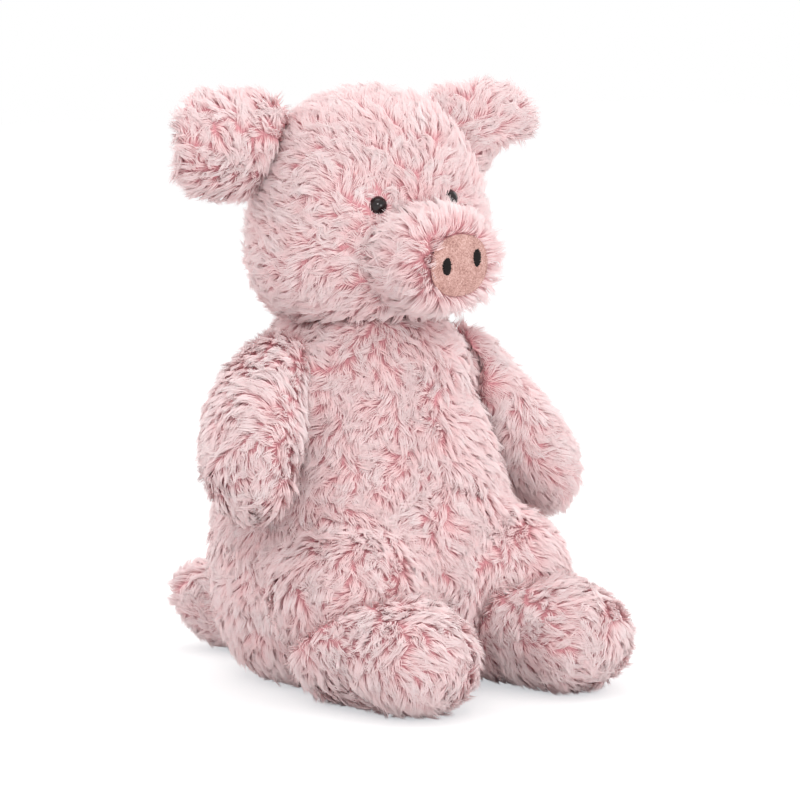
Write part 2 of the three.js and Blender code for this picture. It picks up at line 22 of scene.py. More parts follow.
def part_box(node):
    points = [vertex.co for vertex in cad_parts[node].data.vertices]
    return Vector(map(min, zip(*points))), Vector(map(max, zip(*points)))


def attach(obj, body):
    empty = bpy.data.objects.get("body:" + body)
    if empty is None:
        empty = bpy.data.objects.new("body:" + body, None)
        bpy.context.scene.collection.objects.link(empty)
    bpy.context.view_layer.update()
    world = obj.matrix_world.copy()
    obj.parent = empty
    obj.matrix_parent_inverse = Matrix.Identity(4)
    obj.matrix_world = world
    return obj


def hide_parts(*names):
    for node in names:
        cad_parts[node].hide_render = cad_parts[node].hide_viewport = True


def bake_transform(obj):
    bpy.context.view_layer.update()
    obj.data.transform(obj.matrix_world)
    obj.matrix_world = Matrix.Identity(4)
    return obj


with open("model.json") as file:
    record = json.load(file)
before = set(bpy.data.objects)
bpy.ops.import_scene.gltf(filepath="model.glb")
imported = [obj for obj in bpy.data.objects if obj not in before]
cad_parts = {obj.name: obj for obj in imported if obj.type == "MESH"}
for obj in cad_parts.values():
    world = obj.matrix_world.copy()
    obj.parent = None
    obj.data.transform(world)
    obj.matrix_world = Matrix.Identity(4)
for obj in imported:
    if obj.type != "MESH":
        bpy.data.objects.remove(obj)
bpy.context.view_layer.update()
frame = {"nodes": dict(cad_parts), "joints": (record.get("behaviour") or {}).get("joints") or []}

LOG = logging.getLogger("plush_pig")
MM = 0.001
FLOOR_GAP = 0.3 * MM
# Points this near are one. The other two keep a sum or a length off zero.
MERGE = 0.01 * MM
TINY = 1e-9
NUDGE = 1e-6
BAKE_MAP = "OFBake"
SIDES = ("right", "left")


class Nap(Enum):
    """Which way the pile lies on a piece."""

    FROM_ROOT = "from_root"
    FROM_SNOUT = "from_snout"
    DOWN = "down"


def linear(colour: str) -> tuple[float, float, float, float]:
    """Turns an sRGB hex colour to linear light.

    Args:
        colour: The colour, such as "#f2c9c8".

    Returns:
        Red, green, blue and an alpha of one.
    """
    parts = [int(colour[i : i + 2], 16) / 255 for i in (1, 3, 5)]
    light = [c / 12.92 if c <= 0.04045 else ((c + 0.055) / 1.055) ** 2.4 for c in parts]
    return (light[0], light[1], light[2], 1.0)


def lay_stops(ramp: bpy.types.ColorRamp, stops: list[tuple[float, str]]) -> None:
    """Sets a new colour ramp.

    Args:
        ramp: The ramp.
        stops: Places and hex colours, in order.
    """
    ends = (ramp.elements[0], ramp.elements[1])
    for end, (place, colour) in zip(ends, (stops[0], stops[-1])):
        end.position, end.color = place, linear(colour)
    for place, colour in stops[1:-1]:
        ramp.elements.new(place).color = linear(colour)


def add_node(
    tree: bpy.types.NodeTree,
    kind: str,
    settings: dict | None = None,
    links: dict | None = None,
) -> bpy.types.Node:
    """Adds a node to a material or world, sets it and links it.

    Args:
        tree: The node tree.
        kind: The node's type.
        settings: Values by property name or input name, or a ramp's colours as stops.
        links: Sockets by input name or number. A node stands for its first output.

    Returns:
        The new node.
    """
    node = tree.nodes.new(kind)
    for name, value in (settings or {}).items():
        if name == "stops":
            lay_stops(node.color_ramp, value)
        elif hasattr(node, name):
            setattr(node, name, value)
        else:
            node.inputs[name].default_value = value
    for name, source in (links or {}).items():
        socket = source.outputs[0] if isinstance(source, bpy.types.Node) else source
        tree.links.new(socket, node.inputs[name])
    return node


def mottle(
    tree: bpy.types.NodeTree, size: float, stops: list[tuple[float, str]], detail: float = 2.0
) -> tuple[bpy.types.Node, bpy.types.Node]:
    """Draws soft patches that stay on the piece.

    Args:
        tree: The node tree.
        size: About how wide a patch is.
        stops: Their colours.
        detail: How much finer they are broken up.

    Returns:
        The patches' own value and their colour.
    """
    place = add_node(tree, "ShaderNodeTexCoord").outputs["Object"]
    patches = add_node(
        tree, "ShaderNodeTexNoise", {"Scale": 1 / size, "Detail": detail}, {"Vector": place}
    )
    return patches, add_node(tree, "ShaderNodeValToRGB", {"stops": stops}, {"Fac": patches})


def white_rays(tree: bpy.types.NodeTree) -> bpy.types.Node:
    """Adds what tells the rays that show the background.

    Args:
        tree: The node tree.

    Returns:
        A value of one for such rays.
    """
    path = add_node(tree, "ShaderNodeLightPath").outputs
    value = path["Is Camera Ray"]
    for kind in ("Is Glossy Ray", "Is Transmission Ray"):
        value = add_node(
            tree, "ShaderNodeMath", {"operation": "MAXIMUM"}, {0: value, 1: path[kind]}
        )
    return value


@dataclass(frozen=True)
class Finish:
    """A material, named for what the real one is and how its surface was made."""

    name: str = ""

    def shade(self, tree: bpy.types.NodeTree) -> bpy.types.Node:
        """Adds the finish's own nodes to a tree and returns the shader they end in."""
        raise NotImplementedError

    def build(self) -> bpy.types.Material:
        """Makes the material.

        Returns:
            The material, with its shader linked to its output.
        """
        material = bpy.data.materials.new(self.name)
        material.use_nodes = True
        tree = material.node_tree
        tree.nodes.clear()
        add_node(tree, "ShaderNodeOutputMaterial", links={"Surface": self.shade(tree)})
        return material


@dataclass(frozen=True)
class CurledPile(Finish):
    """Polyester pile, knitted long and tumbled to curls: pale ends over roots painted darker and
    rosier, as painted shade deep in the pile.
    """

    name: str = "polyester_curled_pile"
    places: tuple[float, ...] = (0.0, 0.35, 0.7, 1.0)
    # Each tone's stops run from root to tip: the darker, rosier roots are painted shade deep in
    # the pile.
    rosy: tuple[str, ...] = ("#e39fa5", "#ffd5d6", "#ffe0e0", "#ffe6e6")
    pale: tuple[str, ...] = ("#efbabe", "#ffe7e7", "#fff0f0", "#fff4f3")
    roughness: float = 0.75
    sheer: float = 0.16

    def shade(self, tree: bpy.types.NodeTree) -> bpy.types.Node:
        """Colours the fibres from root to tip, darker at the root as painted shade, between rosy
        and pale by each one's tone.

        Args:
            tree: The node tree.

        Returns:
            The shader.
        """
        uv = add_node(tree, "ShaderNodeUVMap", {"uv_map": BAKE_MAP})
        along = add_node(tree, "ShaderNodeSeparateXYZ", links={"Vector": uv}).outputs
        rosy, pale = (
            add_node(
                tree,
                "ShaderNodeValToRGB",
                {"stops": list(zip(self.places, colours))},
                {"Fac": along["X"]},
            )
            for colours in (self.rosy, self.pale)
        )
        both = add_node(
            tree,
            "ShaderNodeMix",
            {"data_type": "RGBA"},
            {"Factor": along["Y"], "A": rosy, "B": pale},
        ).outputs["Result"]
        shader = add_node(
            tree,
            "ShaderNodeBsdfPrincipled",
            {"Roughness": self.roughness, "Specular IOR Level": 0.0},
            {"Base Color": both},
        )
        through = add_node(tree, "ShaderNodeBsdfTranslucent", links={"Color": both})
        return add_node(tree, "ShaderNodeMixShader", {"Fac": self.sheer}, {1: shader, 2: through})


@dataclass(frozen=True)
class KnittedBacking(Finish):
    """Polyester warp knit under the pile: matt, rosy, with fine rows of loops. Its rosy colour is
    deepened as painted shade, so that partings in the pile look shadowed.
    """

    name: str = "polyester_knit_backing"
    # The knit is rosy, and these colours are deepened further as painted shade in the pile's
    # partings.
    dark: str = "#cb8d93"
    light: str = "#d89ea3"
    loop: float = 1.2 * MM
    loops_a_patch: int = 8
    waves_per_unit: float = 20.0

    def shade(self, tree: bpy.types.NodeTree) -> bpy.types.Node:
        """Draws the knit: patches a few loops wide, and a bump for each row.

        Args:
            tree: The node tree.

        Returns:
            The shader.
        """
        stops = [(0.3, self.dark), (0.7, self.light)]
        _, colour = mottle(tree, self.loops_a_patch * self.loop, stops, 3.0)
        rows = add_node(
            tree,
            "ShaderNodeTexWave",
            {"Scale": 2 * math.pi / (self.waves_per_unit * self.loop), "Distortion": 2.0},
            {"Vector": add_node(tree, "ShaderNodeTexCoord").outputs["Object"]},
        )
        bump = add_node(
            tree,
            "ShaderNodeBump",
            {"Strength": 0.4, "Distance": 0.3 * MM},
            {"Height": rows.outputs["Fac"]},
        )
        return add_node(
            tree,
            "ShaderNodeBsdfPrincipled",
            {"Roughness": 0.9, "Specular IOR Level": 0.2},
            {"Base Color": colour, "Normal": bump},
        )


@dataclass(frozen=True)
class BrushedSuede(Finish):
    """Microfibre suede, brushed: terracotta pink with a fine grain and a soft nap."""

    name: str = "microfibre_brushed_suede"
    dark: str = "#8f6760"
    middle: str = "#b68d85"
    light: str = "#cfaca4"
    grain: float = 0.7 * MM
    grains_a_stroke: int = 7
    brushed_share: float = 0.25

    def shade(self, tree: bpy.types.NodeTree) -> bpy.types.Node:
        """Draws the grain, about twice as coarse as it is, so that it shows.

        Args:
            tree: The node tree.

        Returns:
            The shader.
        """
        place = add_node(tree, "ShaderNodeTexCoord").outputs["Object"]
        grain, brushed = (
            add_node(tree, "ShaderNodeTexNoise", settings, {"Vector": place})
            for settings in (
                {"Scale": 1 / self.grain, "Detail": 3.0, "Roughness": 0.7},
                {"Scale": 1 / (self.grains_a_stroke * self.grain), "Detail": 2.0},
            )
        )
        mixed = add_node(
            tree,
            "ShaderNodeMix",
            {"data_type": "FLOAT", "Factor": self.brushed_share},
            {"A": grain, "B": brushed},
        )
        stops = [(0.36, self.dark), (0.5, self.middle), (0.64, self.light)]
        colour = add_node(tree, "ShaderNodeValToRGB", {"stops": stops}, {"Fac": mixed})
        bump = add_node(
            tree, "ShaderNodeBump", {"Strength": 0.8, "Distance": 0.25 * MM}, {"Height": grain}
        )
        return add_node(
            tree,
            "ShaderNodeBsdfPrincipled",
            {"Roughness": 0.85, "Specular IOR Level": 0.2, "Sheen Weight": 0.12},
            {"Base Color": colour, "Normal": bump},
        )


@dataclass(frozen=True)
class SatinThread(Finish):
    """Rayon embroidery thread, twisted: near black with a soft shine along the ply."""

    name: str = "rayon_embroidery_thread"
    dark: str = "#0d0909"
    light: str = "#1e1617"
    ply: float = 0.35 * MM

    def shade(self, tree: bpy.types.NodeTree) -> bpy.types.Node:
        """Draws the ply.

        Args:
            tree: The node tree.

        Returns:
            The shader.
        """
        ply, colour = mottle(tree, self.ply, [(0.35, self.dark), (0.75, self.light)])
        bump = add_node(
            tree, "ShaderNodeBump", {"Strength": 0.3, "Distance": 0.08 * MM}, {"Height": ply}
        )
        return add_node(
            tree,
            "ShaderNodeBsdfPrincipled",
            {"Roughness": 0.7, "Specular IOR Level": 0.25},
            {"Base Color": colour, "Normal": bump},
        )


@dataclass(frozen=True)
class PolishedBead(Finish):
    """Acrylic bead, moulded and tumbled glossy: brown black, with sharp highlights."""

    name: str = "acrylic_polished_bead"
    dark: str = "#160c0d"
    cloudy: str = "#241416"
    cloud: float = 3 * MM

    def shade(self, tree: bpy.types.NodeTree) -> bpy.types.Node:
        """Draws faint moulding clouds under the gloss.

        Args:
            tree: The node tree.

        Returns:
            The shader.
        """
        cloud, colour = mottle(tree, self.cloud, [(0.4, self.dark), (0.7, self.cloudy)])
        rough = add_node(
            tree, "ShaderNodeMapRange", {"To Min": 0.05, "To Max": 0.12}, {"Value": cloud}
        )
        return add_node(
            tree,
            "ShaderNodeBsdfPrincipled",
            {"IOR": 1.49, "Specular IOR Level": 0.45},
            {"Base Color": colour, "Roughness": rough},
        )


@dataclass(frozen=True)
class MouldedNylon(Finish):
    """Nylon washer, injection moulded: milky white and slightly waxy."""

    name: str = "nylon_moulded_washer"
    low: str = "#d9d4cb"
    high: str = "#efebe3"
    cloud: float = 4 * MM

    def shade(self, tree: bpy.types.NodeTree) -> bpy.types.Node:
        """Draws faint clouds in the white.

        Args:
            tree: The node tree.

        Returns:
            The shader.
        """
        _, colour = mottle(tree, self.cloud, [(0.35, self.low), (0.65, self.high)])
        return add_node(
            tree,
            "ShaderNodeBsdfPrincipled",
            {"Roughness": 0.45, "IOR": 1.53},
            {"Base Color": colour},
        )


@dataclass(frozen=True)
class MattPaper(Finish):
    """Matt paper under the toy: it keeps the toy's shadow, and is white where none falls."""

    name: str = "matt_paper_floor"
    seen: tuple[float, ...] = (0.47, 0.455, 0.44, 1.0)
    bounce: tuple[float, ...] = (0.82, 0.8, 0.8, 1.0)
    glow: str = "#f8fbff"
    glow_strength: float = 0.57

    def shade(self, tree: bpy.types.NodeTree) -> bpy.types.Node:
        """Shows greyer paper with a glow, and lets plain paper light the toy.

        Args:
            tree: The node tree.

        Returns:
            The shader.
        """
        paper, bounce = (
            add_node(tree, "ShaderNodeBsdfDiffuse", {"Color": colour})
            for colour in (self.seen, self.bounce)
        )
        glow = add_node(
            tree,
            "ShaderNodeEmission",
            {"Color": linear(self.glow), "Strength": self.glow_strength},
        )
        seen = add_node(tree, "ShaderNodeAddShader", links={0: paper, 1: glow})
        rays = white_rays(tree)
        return add_node(tree, "ShaderNodeMixShader", links={0: rays, 1: bounce, 2: seen})


def add_object(name: str, data: bpy.types.ID) -> bpy.types.Object:
    """Puts a mesh, a lamp or a camera in the scene at the origin.

    Args:
        name: The object's name.
        data: What it shows.

    Returns:
        The new object.
    """
    made = bpy.data.objects.new(name, data)
    bpy.context.scene.collection.objects.link(made)
    return made


def vectors_of(mesh: bpy.types.Mesh, what: str = "co") -> np.ndarray:
    """Reads a vector of each vertex.

    Args:
        mesh: The mesh.
        what: The vector's name: the place, unless it is "normal".

    Returns:
        The vectors, one a row.
    """
    rows = np.empty(len(mesh.vertices) * 3, np.float32)
    mesh.vertices.foreach_get(what, rows)
    return rows.reshape(-1, 3).astype(float)


def put_points(mesh: bpy.types.Mesh, places: np.ndarray) -> None:
    """Writes vertex places to a mesh."""
    mesh.vertices.foreach_set("co", places.astype(np.float32).ravel())
    mesh.update()


def unit(vectors: np.ndarray) -> np.ndarray:
    """Returns rows scaled to length one."""
    return vectors / np.maximum(np.linalg.norm(vectors, axis=1, keepdims=True), TINY)


def joint_of(name: str | None) -> dict | None:
    """Returns a joint from the record, if there is one of that name."""
    return next((j for j in frame["joints"] if j["name"] == name), None)


def waves(places: np.ndarray, length: float, seed: int, count: int = 9) -> np.ndarray:
    """A smooth random field, the same on every run.

    Args:
        places: Points, one a row.
        length: About how far apart its crests are, in millimetres.
        seed: Which field.
        count: How many plane waves it adds up.

    Returns:
        A value for each point, mostly between -2 and 2.
    """
    rng = np.random.default_rng(seed)
    ways = unit(rng.normal(size=(count, 3))) * rng.uniform(0.7, 1.4, (count, 1))
    turns = places @ ways.T * (2 * math.pi / (length * MM))
    return np.sin(turns + rng.uniform(0, 2 * math.pi, count)).sum(axis=1) / math.sqrt(count / 2)


@dataclass
class Surface:
    """A finished skin's triangles, ready to have fibres rooted in them."""

    corners: np.ndarray
    normals: np.ndarray
    sewn: np.ndarray
    areas: np.ndarray

    @classmethod
    def of(cls, mesh: bpy.types.Mesh, sewn: np.ndarray) -> "Surface":
        """Reads a mesh.

        Args:
            mesh: The skin's mesh.
            sewn: How free each vertex is of a seam, from 0 to 1.

        Returns:
            The surface.
        """
        mesh.calc_loop_triangles()
        rows = np.empty(len(mesh.loop_triangles) * 3, np.int32)
        mesh.loop_triangles.foreach_get("vertices", rows)
        rows = rows.reshape(-1, 3)
        corners = vectors_of(mesh)[rows]
        sides = np.cross(corners[:, 1] - corners[:, 0], corners[:, 2] - corners[:, 0])
        areas = np.linalg.norm(sides, axis=1) / 2
        return cls(corners, vectors_of(mesh, "normal")[rows], sewn[rows], areas)

    def square_mm(self) -> float:
        """Returns the whole area in square millimetres."""
        return self.areas.sum() / MM**2

    def scatter(
        self, count: int, rng: np.random.Generator
    ) -> tuple[np.ndarray, np.ndarray, np.ndarray]:
        """Picks points evenly over the surface.

        Args:
            count: How many.
            rng: The random source.

        Returns:
            Their places, their normals and how free each is of a seam.
        """
        ends = np.cumsum(self.areas)
        at = (np.arange(count) + rng.random(count)) / count * ends[-1]
        picked = np.minimum(np.searchsorted(ends, at), len(ends) - 1)
        a, b = np.sqrt(rng.random(count)), rng.random(count)
        shares = np.stack([1 - a, a * (1 - b), a * b], axis=1)
        places = (self.corners[picked] * shares[:, :, None]).sum(axis=1)
        normals = unit((self.normals[picked] * shares[:, :, None]).sum(axis=1))
        return places, normals, (self.sewn[picked] * shares).sum(axis=1)


@dataclass(frozen=True)
class Lock:
    """How the pile grows and gathers: millimetres, lifts in degrees, turns in radians."""

    fibres_per_mm2: float = 1.9
    lock_area: float = 10.0
    length: float = 8.6
    lock_lengths: tuple[float, float] = (0.82, 1.12)
    fibre_lengths: tuple[float, float] = (0.8, 1.1)
    radius: float = 0.19
    fibre_radii: tuple[float, float] = (0.8, 1.15)
    lift_root: float = 45.0
    lift_tip: float = 5.0
    lift_spreads: tuple[float, float] = (8.0, 10.0)
    lift_standing: tuple[float, float] = (85.0, 75.0)
    curl: float = 0.8
    swirl: float = 1.0
    swirl_length: float = 26.0
    lock_turn: float = 0.38
    fibre_turn: float = 0.14
    gather: float = 0.65
    gather_range: tuple[float, float] = (0.6, 1.0)
    gather_reach: float = 7.0
    tone_swing: float = 0.16
    tone_length: float = 14.0
    tone_spread: float = 0.1
    # How much rosier the pile is painted beside a seam: painted shade in the creases between
    # pieces.
    seam_painted_shade: float = 0.3
    seam_length_share: float = 0.45
    fewest: int = 8


@dataclass
class FibrePattern:
    """One fibre as operators make it: a taper with two roof-like sides, cut into rings."""

    rings: int = 2
    under_from: float = 0.5
    root_from: float = 0.9
    merge: float = 1e-4

    def __post_init__(self) -> None:
        """Builds the taper, opens its underside and its root, and reads its faces."""
        bm = bmesh.new()
        bmesh.ops.create_cone(bm, cap_ends=True, segments=3, radius1=1.0, radius2=0.0, depth=1.0)
        bmesh.ops.translate(bm, verts=bm.verts, vec=(0, 0, 0.5))
        half_turn = Matrix.Rotation(math.pi, 3, "Z")
        bmesh.ops.rotate(bm, verts=bm.verts, cent=(0, 0, 0), matrix=half_turn)
        for ring in range(1, self.rings):
            bmesh.ops.bisect_plane(
                bm,
                geom=bm.verts[:] + bm.edges[:] + bm.faces[:],
                plane_co=(0, 0, ring / self.rings),
                plane_no=(0, 0, 1),
            )
        bmesh.ops.remove_doubles(bm, verts=bm.verts, dist=self.merge)
        bmesh.ops.recalc_face_normals(bm, faces=bm.faces)
        opened = [
            f for f in bm.faces if f.normal.y > self.under_from or f.normal.z < -self.root_from
        ]
        bmesh.ops.delete(bm, geom=opened, context="FACES_ONLY")
        bm.verts.index_update()
        self.ring = np.array([round(v.co.z * self.rings) for v in bm.verts])
        around = np.array([math.atan2(v.co.y, v.co.x) for v in bm.verts])
        self.side = np.stack([np.cos(around), np.sin(around)], axis=1)
        self.loops = np.array([v.index for f in bm.faces for v in f.verts])
        self.sizes = np.array([len(f.verts) for f in bm.faces])
        bm.free()


PATTERN = FibrePattern()
# A fibre's radius at each ring, and how far each ring is pulled to its lock's middle.
TAPER = np.array([1.0, 0.85, 0.0])
PULL = np.array([0.0, 0.32, 0.85])
# A fibre is shaded as the skin beneath it where it faces as the skin does.
SOFTNESS = 0.9
SOFT_EDGE, SOFT_RISE = 0.45, 0.7
# The map holds root to tip along, and the tone across, where a face's corners stay apart.
TONE_START, TONE_SPAN, CORNER_STEP = 0.02, 0.95, 0.004
# These are added to a piece's seed for its fields of swirls and tones.
SWIRL_SEED, TONE_SEED = 7, 3


def mesh_fibres(
    name: str, paths: np.ndarray, normals: np.ndarray, width: np.ndarray, tone: np.ndarray
) -> bpy.types.Mesh:
    """Makes one mesh of many fibres.

    Args:
        name: The mesh's name.
        paths: Places by fibre and ring, from root to tip.
        normals: The skin's normal under each fibre.
        width: Each fibre's radius at its root.
        tone: Each fibre's tone, from 0 to 1.

    Returns:
        The mesh, with its root-to-tip map.
    """
    count, rings = paths.shape[:2]
    along = unit(np.gradient(paths, axis=1).reshape(-1, 3)).reshape(count, rings, 3)
    first = unit(np.cross(along[:, 1], normals) + NUDGE)
    first = np.repeat(first[:, None, :], rings, axis=1)
    second = np.cross(along.reshape(-1, 3), first.reshape(-1, 3)).reshape(count, rings, 3)
    ring, side = PATTERN.ring, PATTERN.side
    radius = (width[:, None] * TAPER[ring][None, :])[:, :, None]
    places = paths[:, ring] + radius * (
        first[:, ring] * side[None, :, :1] + second[:, ring] * side[None, :, 1:]
    )
    places[:, :, 2] = np.maximum(places[:, :, 2], FLOOR_GAP)
    each = len(ring)
    loops = (np.arange(count)[:, None] * each + PATTERN.loops[None, :]).ravel()
    starts = np.concatenate([[0], np.cumsum(np.tile(PATTERN.sizes, count))[:-1]])
    mesh = bpy.data.meshes.new(name)
    mesh.vertices.add(count * each)
    mesh.vertices.foreach_set("co", places.astype(np.float32).ravel())
    mesh.loops.add(len(loops))
    mesh.loops.foreach_set("vertex_index", loops.astype(np.int32))
    mesh.polygons.add(len(starts))
    mesh.polygons.foreach_set("loop_start", starts.astype(np.int32))
    mesh.polygons.foreach_set("use_smooth", np.ones(len(starts), bool))
    mesh.update(calc_edges=True)
    uv = mesh.uv_layers.new(name=BAKE_MAP)
    u = np.tile((ring[PATTERN.loops] / PATTERN.rings), count)
    spread = np.arange(each)[PATTERN.loops] % 3 * CORNER_STEP
    v = (TONE_START + TONE_SPAN * tone[:, None] + spread[None, :]).ravel()
    uv.data.foreach_set("uv", np.stack([u, v], axis=1).astype(np.float32).ravel())
    own = vectors_of(mesh, "normal").reshape(count, each, 3)
    facing = (own * normals[:, None, :]).sum(axis=2, keepdims=True)
    share = SOFTNESS * np.clip(SOFT_EDGE + SOFT_RISE * facing, 0, 1)
    soft = unit((own * (1 - share) + normals[:, None, :] * share).reshape(-1, 3))
    mesh.normals_split_custom_set_from_vertices(soft.tolist())
    return mesh


@dataclass
class Locks:
    """A piece's locks, one a row: where each is rooted and how its fibres run."""

    centres: np.ndarray
    upward: np.ndarray
    ways: np.ndarray
    turn: np.ndarray
    curl: np.ndarray
    first: np.ndarray
    last: np.ndarray
    size: np.ndarray
    tone: np.ndarray

    def nearest(self, roots: np.ndarray) -> np.ndarray:
        """Finds each fibre's lock.

        Args:
            roots: The fibres' roots.

        Returns:
            The number of the lock with the nearest middle, for each.
        """
        tree = KDTree(len(self.centres))
        for i, centre in enumerate(self.centres):
            tree.insert(Vector(centre), i)
        tree.balance()
        return np.array([tree.find(Vector(root))[1] for root in roots])

    def trace(
        self,
        starts: np.ndarray,
        ups: np.ndarray,
        which: np.ndarray,
        sizes: np.ndarray,
        stray: np.ndarray | float = 0.0,
    ) -> np.ndarray:
        """Traces fibres from their roots.

        Args:
            starts: The roots.
            ups: The skin's normals there.
            which: The lock of each.
            sizes: The length of each.
            stray: How far each turns from its lock's way.

        Returns:
            Places by fibre and ring.
        """
        ways = self.ways[which]
        flat = unit(ways - ups * (ways * ups).sum(axis=1, keepdims=True))
        across = np.cross(ups, flat)
        places = [starts]
        for ring in range(PATTERN.rings):
            part = (ring + 0.5) / PATTERN.rings
            angle = (self.turn[which] + stray + self.curl[which] * part)[:, None]
            lift = self.first[which] + (self.last[which] - self.first[which]) * part
            lift = lift[:, None]
            way = np.cos(angle) * flat + np.sin(angle) * across
            step = np.cos(lift) * way + np.sin(lift) * ups
            places.append(places[-1] + step * sizes[:, None] / PATTERN.rings)
        return np.stack(places, axis=1)


@dataclass(frozen=True)
class BareSpot:
    """A spot that the pile leaves bare: its ball, and how the pile is beside it."""

    middle: Vector
    radius: float
    least: float
    stand: float = 0.0
    collar: float = 0.9
    push: float = 2.5
    less_push: float = 1.5
    standing_reach: float = 5 * MM

    def part(self, centres: np.ndarray, ways: np.ndarray, stand: np.ndarray) -> None:
        """Turns the locks beside the spot away from it, and stands them up.

        Args:
            centres: The locks' middles.
            ways: Their ways, which it changes.
            stand: How upright each stands, which it changes.
        """
        away = centres - np.array(self.middle)
        far = np.linalg.norm(away, axis=1, keepdims=True)
        beside = np.exp(-(((far / self.radius - 1) / self.collar) ** 2))
        ways += (self.push - self.less_push * self.stand) * away / far * beside
        past = (far[:, 0] - self.radius) / self.standing_reach
        stand += self.stand * np.exp(-(past**2))


@dataclass
class SewnPiece:
    """A sewn and stuffed piece of the toy: its skin, its pile and how it is hung.

    Its voxel, inset, swell and seam reach are in millimetres, and so is its bend, which is not
    used.
    """

    name: str
    body: str
    nodes: tuple[str, ...]
    joint: str | None = None
    nap: Nap = Nap.FROM_ROOT
    lock: Lock = Lock()
    tone: float = 0.7
    fill: float = 0.75
    voxel: float = 5.0
    inset: float = 2.8
    swell: float = 1.3
    seam_reach: float = 3.5
    pressure: float = 4.0
    stretch: float = 0.03
    bend: tuple[float, float] = (-4.0, 22.0)
    sectors: int = 1
    seed: int = 1
    skin: bpy.types.Object | None = field(default=None, init=False)
    free: np.ndarray | None = field(default=None, init=False)
    pile: list[bpy.types.Object] = field(default_factory=list, init=False)

    def cut(self) -> None:
        """Cuts the skin: one closed surface round the piece's solids, in even voxels."""
        bm = bmesh.new()
        for node in self.nodes:
            bm.from_mesh(frame["nodes"][node].data)
        bmesh.ops.remove_doubles(bm, verts=bm.verts, dist=MERGE)
        mesh = bpy.data.meshes.new(self.name + "_skin")
        bm.to_mesh(mesh)
        bm.free()
        self.skin = add_object(self.name + "_skin", mesh)
        remesh = self.skin.modifiers.new("weave", "REMESH")
        remesh.mode, remesh.voxel_size = "VOXEL", self.voxel * MM
        self.bake()

    def bake(self) -> None:
        """Applies the skin's modifiers to its mesh."""
        shaped = self.skin.evaluated_get(bpy.context.evaluated_depsgraph_get())
        mesh = bpy.data.meshes.new_from_object(shaped)
        self.skin.modifiers.clear()
        old, self.skin.data = self.skin.data, mesh
        bpy.data.meshes.remove(old)
        mesh.name = self.name + "_skin"

    def tree(self) -> BVHTree:
        """Returns a search tree of the skin."""
        mesh = self.skin.data
        return BVHTree.FromPolygons(
            [tuple(v.co) for v in mesh.vertices],
            [tuple(p.vertices) for p in mesh.polygons],
        )

    def find_seams(self, others: list[BVHTree], slack: float = 0.15, rounds: int = 2) -> None:
        """Marks how free each vertex is of the neighbour that it is sewn to.

        Args:
            others: The neighbours' search trees.
            slack: The share of the seam's reach that counts as sewn.
            rounds: How often the marks are smoothed.
        """
        reach = self.seam_reach * MM
        free = np.ones(len(self.skin.data.vertices))
        for i, place in enumerate(vectors_of(self.skin.data)):
            for tree in others:
                near = tree.find_nearest(Vector(place), reach)
                if near[0] is not None:
                    free[i] = min(free[i], max(0.0, near[3] / reach - slack))
        edges = np.empty(len(self.skin.data.edges) * 2, np.int32)
        self.skin.data.edges.foreach_get("vertices", edges)
        edges = edges.reshape(-1, 2)
        degree = np.bincount(edges.ravel(), minlength=len(free))
        for _ in range(rounds):
            total = np.bincount(edges[:, 0], free[edges[:, 1]], len(free))
            total += np.bincount(edges[:, 1], free[edges[:, 0]], len(free))
            free = (free + total / np.maximum(degree, 1)) / 2
        self.free = free

    def draw_in(self, at_seam: float = 0.25) -> None:
        """Draws the skin in from the pile's outline, by less where it is sewn.

        Args:
            at_seam: The share of the inset that a seam keeps.
        """
        mesh = self.skin.data
        inset = self.inset - 0.0
        depth = inset * MM * (at_seam + (1 - at_seam) * self.free)
        put_points(mesh, vectors_of(mesh) - vectors_of(mesh, "normal") * depth[:, None])

    def load_stuffing(self) -> None:
        """Adds the cloth that the stuffing presses on."""
        cloth = self.skin.modifiers.new("stuffing", "CLOTH")
        cloth.settings.quality = 4
        cloth.settings.use_pressure = True
        cloth.settings.uniform_pressure_force = self.pressure
        cloth.settings.effector_weights.gravity = 0.0
        cloth.settings.shrink_min = -self.stretch

    def press_stuffing(self) -> None:
        """Keeps what the stuffing did to the skin, up to the swell that it may have."""
        mesh = self.skin.data
        rest = vectors_of(mesh)
        shaped = self.skin.evaluated_get(bpy.context.evaluated_depsgraph_get())
        moved = vectors_of(shaped.data) - rest
        far = np.linalg.norm(moved, axis=1, keepdims=True)
        cap = self.swell * MM * self.free[:, None]
        moved *= np.minimum(1.0, cap / np.maximum(far, TINY))
        self.skin.modifiers.clear()
        put_points(mesh, rest + moved)

    def finish_skin(self) -> None:
        """Subdivides the skin once and carries the seam marks over."""
        mark = self.skin.data.attributes.new("free", "FLOAT", "POINT")
        mark.data.foreach_set("value", self.free.astype(np.float32))
        smooth = self.skin.modifiers.new("smooth", "SUBSURF")
        smooth.levels = smooth.render_levels = 1
        self.bake()
        mesh = self.skin.data
        free = np.zeros(len(mesh.vertices), np.float32)
        mesh.attributes["free"].data.foreach_get("value", free)
        mesh.attributes.remove(mesh.attributes["free"])
        self.free = free.astype(float)
        mesh.polygons.foreach_set("use_smooth", np.ones(len(mesh.polygons), bool))
        places = vectors_of(mesh)
        places[:, 2] = np.maximum(places[:, 2], 2 * FLOOR_GAP)
        put_points(mesh, places)

    def reach(self, tip_share: float = 0.15) -> tuple[Vector, Vector]:
        """Finds how the piece stands out from its seam.

        Args:
            tip_share: The share of its vertices, the furthest, that are its tip.

        Returns:
            The hinge's place, and the way from there to the tip.
        """
        pivot = Vector(joint_of(self.joint)["pos_m"])
        places = vectors_of(self.skin.data)
        away = np.linalg.norm(places - np.array(pivot), axis=1)
        tip = places[away >= np.quantile(away, 1 - tip_share)].mean(axis=0)
        return pivot, (Vector(tip) - pivot).normalized()

